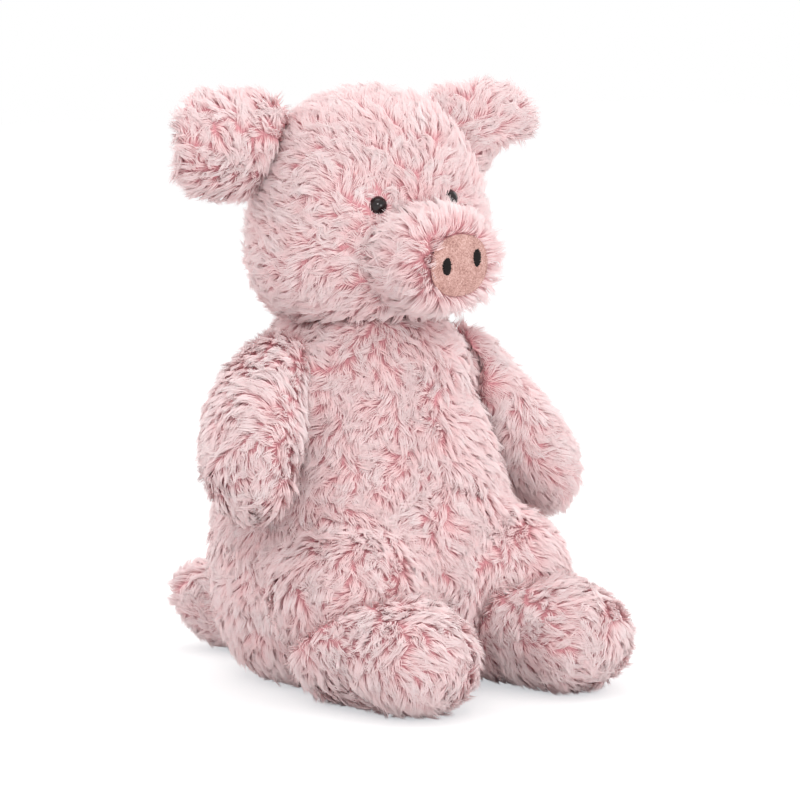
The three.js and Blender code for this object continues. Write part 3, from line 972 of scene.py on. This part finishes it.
    def lie(
        self, places: np.ndarray, snout: Vector, flare: float = 0.35, fan: float = 0.6
    ) -> np.ndarray:
        """Which way the pile is brushed at some points.

        Args:
            places: The points.
            snout: The snout's middle.
            flare: How far pile that lies down also stands out.
            fan: How far pile that lies from the root also spreads.

        Returns:
            A direction for each, not yet laid on the skin.
        """
        if self.nap is Nap.DOWN:
            out = places * np.array([1.0, 1.0, 0.0])
            return unit(out) * flare + np.array([0.0, 0.0, -1.0])
        if self.nap is Nap.FROM_SNOUT:
            return unit(places - np.array(snout))
        pivot, along = self.reach()
        return unit(places - np.array(pivot)) * fan + np.array(along)

    def spared(self, places: np.ndarray, bare: list[BareSpot]) -> np.ndarray:
        """How long the pile may be near what it must not cover.

        Args:
            places: The fibres' roots.
            bare: What stays bare.

        Returns:
            A share of the full length for each fibre, zero where none grows.
        """
        share = np.ones(len(places))
        for spot in bare:
            away = np.linalg.norm(places - np.array(spot.middle), axis=1) / spot.radius
            edge = spot.least + (1 - spot.least) * (away - 1)
            share = np.minimum(share, np.where(away < 1, 0.0, edge))
        return np.clip(share, 0, 1)

    def rooted(
        self,
        roots: np.ndarray,
        share: np.ndarray,
        others: list[BVHTree],
        least: float = 0.05,
        reach: float = 12 * MM,
    ) -> np.ndarray:
        """Tells which fibres grow: those with some length that start in no neighbour.

        Args:
            roots: The fibres' roots.
            share: The share of its full length that each may have.
            others: The neighbours' search trees.
            least: The share at which a fibre is too short to grow.
            reach: How near a neighbour counts.

        Returns:
            True or False for each.
        """
        keep = share > least
        for i in np.flatnonzero(keep):
            root = Vector(roots[i])
            for tree in others:
                near, facing, _, far = tree.find_nearest(root, reach)
                if near is not None and (root - near).dot(facing) < -far / 2:
                    keep[i] = False
        return keep

    def plan_locks(
        self, surface: Surface, snout: Vector, bare: list[BareSpot], rng: np.random.Generator
    ) -> Locks:
        """Sets the locks out over the skin.

        Args:
            surface: The skin's triangles.
            snout: The snout's middle.
            bare: What stays bare.
            rng: The random source.

        Returns:
            The locks.
        """
        lock = self.lock
        count = max(lock.fewest, int(surface.square_mm() / lock.lock_area))
        centres, upward, _ = surface.scatter(count, rng)
        ways, stand = self.lie(centres, snout), np.zeros(count)
        for spot in bare:
            spot.part(centres, ways, stand)
        turn = lock.swirl * waves(centres, lock.swirl_length, self.seed + SWIRL_SEED)
        turn += rng.normal(0, lock.lock_turn, count)
        curl = rng.normal(0, lock.curl, count)
        lifts = [
            lift + rng.normal(0, spread, count)
            for lift, spread in zip((lock.lift_root, lock.lift_tip), lock.lift_spreads)
        ]
        first, last = (
            np.radians(lift + (most - lift) * stand)
            for lift, most in zip(lifts, lock.lift_standing)
        )
        size = lock.length * MM * rng.uniform(*lock.lock_lengths, count)
        tone = lock.tone_swing * waves(centres, lock.tone_length, self.seed + TONE_SEED)
        tone = self.tone + tone + rng.normal(0, lock.tone_spread, count)
        return Locks(centres, upward, ways, turn, curl, first, last, size, tone)

    def grow(
        self,
        others: list[BVHTree],
        snout: Vector,
        bare: list[BareSpot],
        material: bpy.types.Material,
    ) -> None:
        """Grows the pile: roots over the skin, gathered in curled locks.

        Args:
            others: The neighbours' search trees.
            snout: The snout's middle.
            bare: What stays bare.
            material: The pile's finish.
        """
        rng = np.random.default_rng(self.seed)
        lock = self.lock
        surface = Surface.of(self.skin.data, self.free)
        wanted = int(surface.square_mm() * lock.fibres_per_mm2)
        roots, normals, free = surface.scatter(wanted, rng)
        share = self.spared(roots, bare)
        keep = self.rooted(roots, share, others)
        roots, normals, free, share = (rows[keep] for rows in (roots, normals, free, share))
        locks = self.plan_locks(surface, snout, bare, rng)
        owner, count = locks.nearest(roots), len(roots)
        sizes = locks.size[owner] * rng.uniform(*lock.fibre_lengths, count) * share
        sizes *= lock.seam_length_share + (1 - lock.seam_length_share) * free
        middle = locks.trace(locks.centres[owner], locks.upward[owner], owner, sizes)
        stray = rng.normal(0, lock.fibre_turn, count)
        paths = locks.trace(roots, normals, owner, sizes, stray)
        tight = lock.gather * rng.uniform(*lock.gather_range, count)
        far = np.linalg.norm(roots - locks.centres[owner], axis=1)
        pull = PULL[None, :] * (tight * (far < lock.gather_reach * MM))[:, None]
        paths += (middle - paths) * pull[:, :, None]
        width = lock.radius * MM * rng.uniform(*lock.fibre_radii, count)
        tones = locks.tone[owner] + rng.normal(0, lock.tone_spread, count)
        # Fibres beside a seam are painted rosier: painted shade in the crease between pieces.
        tones = np.clip(tones - lock.seam_painted_shade * (1 - free), 0, 1)
        heart = roots.mean(axis=0)
        around = np.arctan2(roots[:, 1] - heart[1], roots[:, 0] - heart[0])
        sector = ((around / (2 * math.pi) + 0.5) * self.sectors).astype(int)
        sector = np.minimum(sector, self.sectors - 1)
        for part in range(self.sectors):
            mine = sector == part
            name = self.name + "_pile" + (f"_{part + 1}" if self.sectors > 1 else "")
            mesh = mesh_fibres(name, paths[mine], normals[mine], width[mine], tones[mine])
            mesh.materials.append(material)
            self.pile.append(add_object(name, mesh))
        LOG.info("%s: %d fibres on %.0f mm2", self.name, count, surface.square_mm())

    def dress(self, material: bpy.types.Material) -> None:
        """Gives the skin its backing and hides the solids that it covers.

        Args:
            material: The backing.
        """
        self.skin.data.materials.clear()
        self.skin.data.materials.append(material)
        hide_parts(*self.nodes)

    def hang(self) -> None:
        """Rides on the piece's body, or, where it has a joint, keeps its place in its own mesh.
        """
        joint = joint_of(self.joint)
        for piece in [self.skin, *self.pile]:
            if joint is None:
                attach(piece, self.body)
                continue
            pivot, along = self.reach()
            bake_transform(piece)


def spun(profile: list[tuple[float, float]], steps: int) -> bmesh.types.BMesh:
    """Spins a profile about +Z.

    Args:
        profile: Radii and heights, from one end on the axis to the other.
        steps: How many sides.

    Returns:
        A closed bmesh.
    """
    bm = bmesh.new()
    ring = [bm.verts.new((radius, 0.0, height)) for radius, height in profile]
    edges = [bm.edges.new(pair) for pair in zip(ring, ring[1:])]
    bmesh.ops.spin(
        bm,
        geom=ring + edges,
        cent=(0, 0, 0),
        axis=(0, 0, 1),
        angle=2 * math.pi,
        steps=steps,
        use_merge=True,
        use_duplicate=False,
    )
    bmesh.ops.remove_doubles(bm, verts=bm.verts, dist=MERGE)
    bmesh.ops.recalc_face_normals(bm, faces=bm.faces)
    return bm


def settle(
    bm: bmesh.types.BMesh, name: str, place: Matrix, material: bpy.types.Material
) -> bpy.types.Object:
    """Turns a bmesh to a finished piece, with its place in its mesh.

    Args:
        bm: The shape. It is freed.
        name: The piece's name.
        place: Where it goes.
        material: Its finish.

    Returns:
        The piece.
    """
    bmesh.ops.transform(bm, matrix=place, verts=bm.verts)
    mesh = bpy.data.meshes.new(name)
    bm.to_mesh(mesh)
    bm.free()
    mesh.polygons.foreach_set("use_smooth", np.ones(len(mesh.polygons), bool))
    mesh.materials.append(material)
    return add_object(name, mesh)


@dataclass
class Face:
    """The suede snout, the stitched nostrils and the bead eyes.

    Its rings are balls that the pile keeps clear of, and it is cut to the least shares there.
    """

    disc_sides: int = 80
    disc_crown: float = 0.9 * MM
    disc_square: float = 0.035
    pucker: float = 0.18 * MM
    puckers: int = 26
    pucker_share: float = 0.93
    pucker_width_share: float = 0.12
    dimple: float = 0.5 * MM
    dimple_radius: float = 3.2 * MM
    front_share: float = 0.3
    pad_sides: int = 24
    pad_share: float = 0.92
    stitches: int = 17
    stitch_sides: int = 8
    stitch_radius: float = 0.27 * MM
    stitch_proud: float = 0.55 * MM
    stitch_depth_share: float = 0.55
    stitch_round_share: float = 0.94
    stitch_reach_shares: tuple[float, float] = (0.95, 1.25)
    stitch_bluntness: int = 6
    stitch_fullest: float = 2.2
    stitch_tilt: float = 0.05
    stitch_seed: int = 31
    bead_radius: float = 4.0 * MM
    bead_sides: int = 40
    bead_steps: int = 16
    bead_back_shares: tuple[tuple[float, float], ...] = ((0.985, -0.1), (0.9, -0.42), (0.6, -0.7))
    shank_radius: float = 1.2 * MM
    disc_ring: float = 12.6 * MM
    disc_ring_depth: float = 3 * MM
    disc_stand: float = 0.85
    eye_rings: tuple[float, float] = (5.4 * MM, 4.6 * MM)
    eye_ring_depth: float = 3.5 * MM
    eye_least_shares: tuple[float, float] = (0.3, 0.7)

    def __post_init__(self) -> None:
        """Reads the snout's place from its disc and its nostrils."""
        disc = vectors_of(frame["nodes"]["snout_disc"].data)
        self.middle = Vector((disc.min(axis=0) + disc.max(axis=0)) / 2)
        self.nostrils = [Vector(sum(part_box(f"nostril_{side}"), Vector()) / 2) for side in SIDES]
        _, _, axes = np.linalg.svd(disc - disc.mean(axis=0), full_matrices=False)
        front = Vector(axes[2])
        self.front = front if front.y < 0 else -front
        self.up = self.front.cross(Vector(joint_of("head_nod")["axis"])).normalized()
        self.across = self.up.cross(self.front).normalized()

    def half_sizes(self, node: str, middle: Vector) -> list[float]:
        """Measures a node along the snout's own ways.

        Args:
            node: The node's name.
            middle: Its middle.

        Returns:
            How far it reaches from there across, up and to the front.
        """
        off = vectors_of(frame["nodes"][node].data) - np.array(middle)
        ways = (self.across, self.up, self.front)
        return [float(np.abs(off @ np.array(way)).max()) for way in ways]

    def basis(self, middle: Vector) -> Matrix:
        """Returns the snout's frame moved to a point: across, up and front."""
        turned = Matrix((self.across, self.up, self.front)).transposed().to_4x4()
        return Matrix.Translation(middle) @ turned

    def snout(self, material: bpy.types.Material) -> bpy.types.Object:
        """Makes the disc: crowned, rounded into the muzzle and puckered by its stitches.

        Args:
            material: The suede.

        Returns:
            The piece.
        """
        shares = [(0, 1), (0.2, 1), (0.4, 0.97), (0.58, 0.9), (0.74, 0.78), (0.87, 0.58)]
        shares += [(0.95, 0.32), (0.995, 0.0), (1.0, -0.3), (0.97, -0.6), (0.9, -0.85)]
        shares += [(0.8, -1), (0.4, -1), (0, -1)]
        bm = spun(shares, self.disc_sides)
        wide, high, thick = self.half_sizes("snout_disc", self.middle)
        inverse = self.basis(self.middle).inverted()
        pits = [inverse @ nostril for nostril in self.nostrils]
        for v in bm.verts:
            angle = math.atan2(v.co.y, v.co.x)
            radius = math.hypot(v.co.x, v.co.y)
            square = 1 + self.disc_square * (1 - math.cos(4 * angle)) / 2
            place = Vector((v.co.x * wide * square, v.co.y * high * square, 0))
            depth = v.co.z * thick
            if v.co.z > 0:
                depth += self.disc_crown * (1 - radius**2)
                off_rim = (radius - self.pucker_share) / self.pucker_width_share
                rim = math.exp(-(off_rim**2))
                depth -= self.pucker * rim * (1 + math.cos(self.puckers * angle))
            if v.co.z > self.front_share:
                for pit in pits:
                    near = (place - Vector((pit.x, pit.y, 0))).length / self.dimple_radius
                    depth -= self.dimple * math.exp(-(near**2))
            v.co = Vector((place.x, place.y, depth))
        piece = settle(bm, "snout_suede", self.basis(self.middle), material)
        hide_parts("snout_disc")
        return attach(piece, "head")

    def nostril(
        self, side: str, middle: Vector, material: bpy.types.Material
    ) -> bpy.types.Object:
        """Makes one nostril: satin stitches laid close over a pad.

        Args:
            side: Which side, for its name.
            middle: The nostril's middle.
            material: The thread.

        Returns:
            The piece.
        """
        wide, high, thick = self.half_sizes("nostril_" + side, middle)
        pad = (wide * self.pad_share, high * self.pad_share, thick)
        bm = spun([(0, 0.75), (0.5, 0.6), (0.85, 0.2), (0.95, -0.9), (0, -1)], self.pad_sides)
        bmesh.ops.scale(bm, vec=pad, verts=bm.verts)
        rng = np.random.default_rng(self.stitch_seed + len(side))
        for row in range(self.stitches):
            share = -1 + 2 * (row + 0.5) / self.stitches
            reach = wide * math.sqrt(1 - share**2 * self.stitch_round_share)
            reach *= rng.uniform(*self.stitch_reach_shares)
            tilt = rng.normal(0, self.stitch_tilt)
            made = bmesh.ops.create_uvsphere(
                bm, u_segments=self.stitch_sides, v_segments=self.stitch_sides, radius=1.0
            )
            for v in made["verts"]:
                along = v.co.z
                arch = (1 - along**2) * self.stitch_proud
                ball = math.sqrt(max(TINY, 1 - along**2))
                thin = math.sqrt(max(0.0, 1 - abs(along) ** self.stitch_bluntness)) / ball
                thin = min(thin, self.stitch_fullest) * self.stitch_radius
                up = share * high + v.co.x * thin + along * tilt * wide
                front = thick * self.stitch_depth_share + arch + v.co.y * thin
                v.co = Vector((along * reach, up, front))
        bmesh.ops.recalc_face_normals(bm, faces=bm.faces)
        piece = settle(bm, f"nostril_{side}_stitches", self.basis(middle), material)
        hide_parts("nostril_" + side)
        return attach(piece, "head")

    def bead_place(self, side: str) -> tuple[Vector, Vector, float]:
        """Finds a bead from its node.

        Args:
            side: Which side.

        Returns:
            The bead's middle, the way it faces and how deep its shank ends.
        """
        places = vectors_of(frame["nodes"]["eye_" + side].data)
        _, _, axes = np.linalg.svd(places - places.mean(axis=0), full_matrices=False)
        facing = Vector(axes[0])
        if facing.y > 0:
            facing.negate()
        along = places @ np.array(facing)
        line = places - np.outer(along, np.array(facing))
        foot = (line.min(axis=0) + line.max(axis=0)) / 2
        middle = Vector(foot) + facing * (float(along.max()) - self.bead_radius)
        return middle, facing, float(along.min()) - middle.dot(facing)

    def bead(self, side: str, material: bpy.types.Material) -> bpy.types.Object:
        """Makes one eye: a bead with a parting line, a collar and a shank.

        Args:
            side: Which side.
            material: The bead's finish.

        Returns:
            The piece.
        """
        middle, facing, deep = self.bead_place(side)
        r, s = self.bead_radius, self.shank_radius
        turns = np.linspace(0, 0.52 * math.pi, self.bead_steps)[1:]
        profile = [(0.0, r)] + [(r * math.sin(t), r * math.cos(t)) for t in turns]
        profile += [(r * wide, r * high) for wide, high in self.bead_back_shares]
        profile += [(s * 1.4, -r * 0.8), (s, -r), (s, deep * 0.97), (s * 0.8, deep), (0, deep)]
        bm = spun(profile, self.bead_sides)
        turned = facing.to_track_quat("Z", "Y").to_matrix().to_4x4()
        piece = settle(bm, f"eye_{side}_bead", Matrix.Translation(middle) @ turned, material)
        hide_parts("eye_" + side)
        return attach(piece, "head")

    def bare(self) -> list[BareSpot]:
        """Says what stays bare.

        Returns:
            The snout, whose rim the pile stands round, and the eyes.
        """
        behind = self.middle - self.front * self.disc_ring_depth
        spots = [BareSpot(behind, self.disc_ring, least=1.0, stand=self.disc_stand)]
        for side, radius, least in zip(SIDES, self.eye_rings, self.eye_least_shares):
            middle, facing, _ = self.bead_place(side)
            spots.append(BareSpot(middle - facing * self.eye_ring_depth, radius, least))
        return spots


@dataclass
class Studio:
    """The floor, the lights and the camera, which stands where the photograph's does.

    A lamp is its name, its place, its side and its power in watts.
    """

    target: tuple[float, float, float] = (0.0, 0.0, 0.125)
    azimuth: float = -40.0
    elevation: float = 6.5
    distance: float = 1.8
    frame_width: float = 0.344
    shift: tuple[float, float] = (0.0375, -0.0126)
    clip: tuple[float, float] = (0.1, 20.0)
    ambient: float = 1.0
    floor_size: float = 4.0
    lamps: tuple[tuple[str, tuple[float, float, float], float, float], ...] = (
        ("key", (-1.0, -1.2, 0.85), 0.45, 6.5),
        ("fill", (0.0, -1.5, 0.2), 0.7, 6.0),
        ("top", (-0.1, 0.1, 1.5), 1.2, 6.5),
        ("rim_right", (1.1, 0.1, 0.6), 0.8, 4.0),
        ("rim_left", (-1.0, 0.9, 0.7), 0.8, 3.0),
    )

    def stand(
        self, name: str, data: bpy.types.ID, place: Vector, way: Vector
    ) -> bpy.types.Object:
        """Stands a lamp or a camera somewhere.

        Args:
            name: Its name.
            data: The lamp or the camera.
            place: Where it stands.
            way: Which way it looks.

        Returns:
            The lamp or the camera in the scene.
        """
        made = add_object(name, data)
        made.location = place
        made.rotation_mode = "QUATERNION"
        made.rotation_quaternion = way.to_track_quat("-Z", "Y")
        return made

    def camera(self) -> None:
        """Makes the camera."""
        data = bpy.data.cameras.new("camera")
        data.lens = data.sensor_width * self.distance / self.frame_width
        data.shift_x, data.shift_y = self.shift
        data.clip_start, data.clip_end = self.clip
        a, e = math.radians(self.azimuth), math.radians(self.elevation)
        back = Vector((math.sin(a) * math.cos(e), -math.cos(a) * math.cos(e), math.sin(e)))
        place = Vector(self.target) + back * self.distance
        bpy.context.scene.camera = self.stand("camera", data, place, -back)

    def lamp(
        self, name: str, place: tuple[float, float, float], size: float, power: float
    ) -> None:
        """Makes one soft lamp that faces the toy.

        Args:
            name: The lamp's name.
            place: Where it stands.
            size: Its side.
            power: Its power in watts.
        """
        data = bpy.data.lights.new(name, "AREA")
        data.shape, data.size, data.energy = "SQUARE", size, power
        self.stand(name, data, Vector(place), Vector(self.target) - Vector(place))

    def world(self) -> None:
        """Makes the white surroundings, which show as plain white."""
        world = bpy.data.worlds.new("studio")
        world.use_nodes = True
        tree = world.node_tree
        tree.nodes.clear()
        soft, white = (
            add_node(
                tree, "ShaderNodeBackground", {"Color": linear("#ffffff"), "Strength": strength}
            )
            for strength in (self.ambient, 1.0)
        )
        links = {0: white_rays(tree), 1: soft, 2: white}
        both = add_node(tree, "ShaderNodeMixShader", links=links)
        add_node(tree, "ShaderNodeOutputWorld", links={"Surface": both})
        bpy.context.scene.world = world

    def floor(self) -> None:
        """Lays the floor."""
        bm = bmesh.new()
        bmesh.ops.create_grid(bm, x_segments=2, y_segments=2, size=self.floor_size)
        settle(bm, "floor", Matrix.Identity(4), MattPaper().build())

    def build(self) -> None:
        """Sets up the whole studio."""
        bpy.context.scene.view_settings.view_transform = "Standard"
        self.camera()
        self.world()
        self.floor()
        for name, place, size, power in self.lamps:
            self.lamp(name, place, size, power)


@dataclass
class Pig:
    """The whole toy: its sewn pieces and its face."""

    face: Face = field(default_factory=Face)
    settling_frames: int = 20
    near: float = 6 * MM

    def __post_init__(self) -> None:
        """Lists the sewn pieces."""
        small = Lock(length=8.0, lock_area=8.5, lift_tip=4.0)
        short = Lock(length=9.2, lock_area=9.0, swirl=0.3, curl=0.6)
        head = Lock(length=8.2, lock_area=9.0, swirl=0.4, curl=0.7)
        trunk = Lock(length=8.8, lock_area=8.5, lift_tip=7.0, swirl=0.75, curl=0.6, gather=0.55)
        limb = Lock(length=8.4, lock_area=8.5, lift_tip=8.0, swirl=0.6, curl=0.55, gather=0.55)
        forward = {"nap": Nap.FROM_SNOUT, "tone": 0.6, "fill": 0.85}
        fine = {"lock": small, "voxel": 4.0, "swell": 0.6}
        self.pieces = [
            SewnPiece(
                "body",
                "torso",
                ("body_cover", "body_stuffing", "bean_pouch"),
                nap=Nap.DOWN,
                lock=trunk,
                tone=0.5,
                sectors=6,
                fill=0.8,
                seed=11,
            ),
            SewnPiece(
                "head",
                "head",
                ("head_cover", "head_stuffing"),
                lock=head,
                sectors=4,
                seed=16,
                **forward,
            ),
            SewnPiece(
                "muzzle",
                "head",
                ("muzzle_cover", "muzzle_stuffing"),
                lock=short,
                voxel=4.0,
                seed=13,
                **forward,
            ),
        ]
        for n, side in enumerate(SIDES):
            ear = SewnPiece(
                f"ear_{side}_sewn",
                "ear_" + side,
                ("ear_" + side,),
                joint=f"ear_{side}_flap",
                inset=1.2,
                bend=(-2.0, 12.0),
                fill=0.3,
                seed=20 + n,
                **fine,
            )
            self.pieces.append(ear)
            for limb_name, move, bend, seed in (
                ("arm_" + side, "_swing", (-6.0, 24.0), 30),
                ("leg_" + side, "_lift", (-10.0, 25.0), 40),
            ):
                piece = SewnPiece(
                    limb_name,
                    limb_name,
                    (limb_name + "_cover", limb_name + "_stuffing"),
                    joint=limb_name + move,
                    lock=limb,
                    bend=bend,
                    seed=seed + n,
                )
                self.pieces.append(piece)
        tail = SewnPiece(
            "tail",
            "tail",
            ("tail_cover", "tail_stuffing"),
            joint="tail_wag",
            inset=0.8,
            bend=(-2.0, 16.0),
            fill=0.7,
            seed=50,
            **fine,
        )
        self.pieces.append(tail)

    def neighbours(self, piece: SewnPiece, trees: dict[str, BVHTree]) -> list[BVHTree]:
        """Finds the pieces whose boxes come near a piece.

        Args:
            piece: The piece.
            trees: Every piece's search tree, by name.

        Returns:
            The near ones' trees.
        """
        low, high = self.box_of(piece)
        found = []
        for other in self.pieces:
            least, most = self.box_of(other)
            touches = np.all(least < high + self.near) and np.all(most > low - self.near)
            if other is not piece and touches:
                found.append(trees[other.name])
        return found

    def box_of(self, piece: SewnPiece) -> tuple[np.ndarray, np.ndarray]:
        """Returns the corners of a piece's skin."""
        places = vectors_of(piece.skin.data)
        return places.min(axis=0), places.max(axis=0)

    def sew(self) -> None:
        """Cuts, stuffs and finishes every skin."""
        for piece in self.pieces:
            piece.cut()
        trees = {piece.name: piece.tree() for piece in self.pieces}
        for piece in self.pieces:
            piece.find_seams(self.neighbours(piece, trees))
        for piece in self.pieces:
            piece.draw_in()
        scene = bpy.context.scene
        for piece in self.pieces:
            piece.load_stuffing()
        for step in range(1, self.settling_frames + 1):
            scene.frame_set(step)
        for piece in self.pieces:
            piece.press_stuffing()
        scene.frame_set(1)
        for piece in self.pieces:
            piece.finish_skin()
            LOG.info("%s: skin of %d faces", piece.name, len(piece.skin.data.polygons))

    def cover(self) -> None:
        """Grows the pile and hangs every piece."""
        backing, pile = KnittedBacking().build(), CurledPile().build()
        trees = {piece.name: piece.tree() for piece in self.pieces}
        bare = self.face.bare()
        for piece in self.pieces:
            spots = bare[:1] if piece.name == "muzzle" else bare
            piece.grow(self.neighbours(piece, trees), self.face.middle, spots, pile)
        for piece in self.pieces:
            piece.dress(backing)
            piece.hang()

    def make_face(self) -> None:
        """Makes the snout, the nostrils and the eyes, and gives the washers behind them their
        finish.
        """
        thread, bead = SatinThread().build(), PolishedBead().build()
        washer = MouldedNylon().build()
        self.face.snout(BrushedSuede().build())
        for side, nostril in zip(SIDES, self.face.nostrils):
            self.face.nostril(side, nostril, thread)
            self.face.bead(side, bead)
            node = frame["nodes"]["eye_washer_" + side]
            node.data.materials.clear()
            node.data.materials.append(washer)
            LOG.info("%s nostril and eye", side)


def main() -> None:
    """Builds the studio and the toy."""
    logging.basicConfig(level=logging.INFO, format="%(name)s: %(message)s")
    Studio().build()
    pig = Pig()
    pig.sew()
    pig.cover()
    pig.make_face()


if __name__ == "__main__":
    main()
